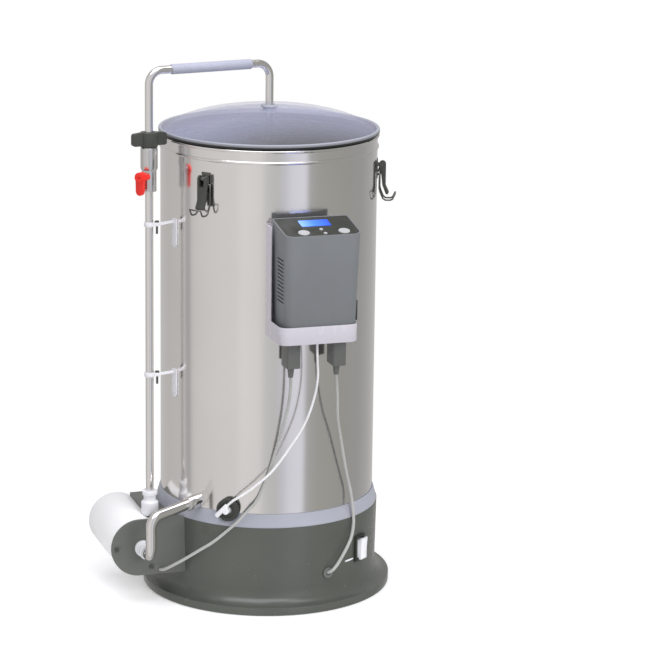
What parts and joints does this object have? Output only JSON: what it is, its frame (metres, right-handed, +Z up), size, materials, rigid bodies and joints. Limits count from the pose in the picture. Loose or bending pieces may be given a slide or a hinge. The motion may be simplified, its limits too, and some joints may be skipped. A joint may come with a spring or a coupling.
{
  "type": "electric all-in-one brewer",
  "caption": "Free-standing electric brewing boiler with lift-out grain basket, glass lid, pump, riser, swing-over recirculation arm and hung control box",
  "frame": {"origin": "centre of the base's foot pads on the floor, on the boiler's axis", "axes": "+Z up along the boiler's axis, the control box faces -Y, the pump and riser are towards -X"},
  "size_m": [0.4187, 0.4059, 0.7469],
  "materials": {
    "base_plastic": "satin moulded",
    "feet_rubber": "matte",
    "seal_silicone": "soft satin",
    "polished_steel": "polished",
    "satin_steel": "satin",
    "dark_wire": "satin dark steel",
    "lid_gasket": "soft gloss black",
    "pump_can_paint": "semi-gloss white",
    "bracket_paint": "satin dark grey",
    "white_plastic": "gloss",
    "black_plastic": "matte",
    "dark_collar": "satin",
    "red_vinyl": "soft gloss",
    "grip_silicone": "matte",
    "lid_glass": "clear",
    "box_plastic": "satin",
    "panel_plastic": "fine texture",
    "display": "backlit blue",
    "button_plastic": "satin",
    "tray_paint": "satin light grey",
    "board": "lacquered",
    "copper": "enamelled",
    "magnet": "matte",
    "plug_plastic": "satin",
    "cord_grey": "satin",
    "cord_white": "satin"
  },
  "bodies": {
    "root": {"base_shell": "base_plastic", "base_plate": "black_plastic", "base_feet": "feet_rubber", "base_seal_ring": "seal_silicone", "boiler_shell": "polished_steel", "heating_element": "satin_steel", "switch_bezel": "panel_plastic", "element_gland": "plug_plastic", "probe_head": "white_plastic", "outlet_ferrule": "polished_steel", "outlet_filter": "satin_steel", "inlet_elbow": "polished_steel", "pump_nuts": "white_plastic", "pump_bracket": "bracket_paint", "pump_volute": "black_plastic", "motor_cover": "pump_can_paint", "motor_stator": "copper", "riser_pipe": "polished_steel", "pipe_clips": "white_plastic", "screws": "dark_wire", "valve_body": "satin_steel", "pipe_socket": "satin_steel", "latch_brackets": "dark_wire", "bracket_tray": "tray_paint", "box_shell": "box_plastic", "box_panel": "panel_plastic", "display_window": "display", "circuit_board": "board", "box_sockets": "black_plastic", "mains_inlet": "black_plastic", "box_plugs": "plug_plastic", "pump_cord": "cord_grey", "element_cord": "cord_grey", "probe_cord": "cord_white"},
    "basket": {"basket": "satin_steel", "overflow_pipe": "satin_steel"},
    "sieve": {"basket_top_sieve": "satin_steel"},
    "lid": {"lid_glass": "lid_glass", "lid_rim": "lid_gasket", "lid_grommet": "seal_silicone"},
    "arm": {"arm_pipe": "polished_steel", "arm_grip": "grip_silicone"},
    "collar": {"locking_collar": "dark_collar"},
    "valve": {"valve_ball": "satin_steel", "valve_handle": "red_vinyl"},
    "rocker": {"switch_rocker": "white_plastic"},
    "knob": {"probe_knob": "black_plastic"},
    "impeller": {"impeller": "white_plastic"},
    "drive": {"drive_magnet": "magnet"},
    "button_left": {"button_left": "button_plastic"},
    "button_right": {"button_right": "button_plastic"},
    "key_back": {"key_back": "button_plastic"},
    "key_front": {"key_front": "button_plastic"},
    "lever_1": {"latch_lever_1": "dark_collar"},
    "bail_1": {"latch_bail_1": "dark_wire"},
    "lever_2": {"latch_lever_2": "dark_collar"},
    "bail_2": {"latch_bail_2": "dark_wire"},
    "lever_3": {"latch_lever_3": "dark_collar"},
    "bail_3": {"latch_bail_3": "dark_wire"}
  },
  "joints": [
    {"name": "basket_lift", "type": "slide", "parent": "root", "child": "basket", "axis": [0, 0, 1], "range_m": [0, 0.5]},
    {"name": "sieve_lift", "type": "slide", "parent": "basket", "child": "sieve", "axis": [0, 0, 1], "range_m": [-0.33, 0.05]},
    {"name": "lid_lift", "type": "slide", "parent": "basket", "child": "lid", "axis": [0, 0, 1], "range_m": [0, 0.15]},
    {"name": "arm_lift", "type": "slide", "parent": "lid", "child": "arm", "axis": [0, 0, 1], "range_m": [0, 0.12]},
    {"name": "collar_turn", "type": "hinge", "parent": "root", "child": "collar", "pos_m": [-0.1795, -0.03295, 0.647], "axis": [0, 0, 1], "continuous": true},
    {"name": "valve_turn", "type": "hinge", "parent": "root", "child": "valve", "pos_m": [-0.1795, -0.03295, 0.5975], "axis": [-0.766, -0.6428, 0], "range_deg": [0, 90]},
    {"name": "switch_rock", "type": "hinge", "parent": "root", "child": "rocker", "pos_m": [0.09752, -0.11957, 0.072], "axis": [-0.7749, -0.632, 0], "range_deg": [0, 14]},
    {"name": "knob_turn", "type": "hinge", "parent": "root", "child": "knob", "pos_m": [-0.09285, -0.12411, 0.1442], "axis": [-0.599, -0.8007, 0], "continuous": true},
    {"name": "drive_spin", "type": "hinge", "parent": "root", "child": "drive", "pos_m": [-0.2, 0, 0.082], "axis": [0, 1, 0], "continuous": true},
    {"name": "impeller_spin", "type": "hinge", "parent": "root", "child": "impeller", "pos_m": [-0.2, -0.02, 0.082], "axis": [0, 1, 0], "continuous": true},
    {"name": "button_left_press", "type": "slide", "parent": "root", "child": "button_left", "axis": [0, -0.1819, 0.9833], "range_m": [-0.0015, 0], "stiffness_N_per_m": 400, "springref_m": 0.0002},
    {"name": "button_right_press", "type": "slide", "parent": "root", "child": "button_right", "axis": [0, -0.1819, 0.9833], "range_m": [-0.0015, 0], "stiffness_N_per_m": 400, "springref_m": 0.0002},
    {"name": "key_back_press", "type": "slide", "parent": "root", "child": "key_back", "axis": [0, -0.1819, 0.9833], "range_m": [-0.0015, 0], "stiffness_N_per_m": 200, "springref_m": 0.0002},
    {"name": "key_front_press", "type": "slide", "parent": "root", "child": "key_front", "axis": [0, -0.1819, 0.9833], "range_m": [-0.0015, 0], "stiffness_N_per_m": 200, "springref_m": 0.0002},
    {"name": "lever_1_swing", "type": "hinge", "parent": "root", "child": "lever_1", "pos_m": [-0.12225, -0.09899, 0.602], "axis": [-0.6293, 0.7771, 0], "range_deg": [0, 110]},
    {"name": "bail_1_swing", "type": "hinge", "parent": "lever_1", "child": "bail_1", "pos_m": [-0.11929, -0.0966, 0.594], "axis": [-0.6293, 0.7771, 0], "range_deg": [0, 55]},
    {"name": "lever_2_swing", "type": "hinge", "parent": "root", "child": "lever_2", "pos_m": [0.14685, -0.05637, 0.602], "axis": [-0.3584, -0.9336, 0], "range_deg": [0, 110]},
    {"name": "bail_2_swing", "type": "hinge", "parent": "lever_2", "child": "bail_2", "pos_m": [0.1433, -0.05501, 0.594], "axis": [-0.3584, -0.9336, 0], "range_deg": [0, 55]},
    {"name": "lever_3_swing", "type": "hinge", "parent": "root", "child": "lever_3", "pos_m": [-0.02461, 0.15536, 0.602], "axis": [0.9877, 0.1564, 0], "range_deg": [0, 110]},
    {"name": "bail_3_swing", "type": "hinge", "parent": "lever_3", "child": "bail_3", "pos_m": [-0.02401, 0.15161, 0.594], "axis": [0.9877, 0.1564, 0], "range_deg": [0, 55]}
  ],
  "couplings": [
    {"joint": "impeller_spin", "follows": "drive_spin", "ratio": 1}
  ]
}
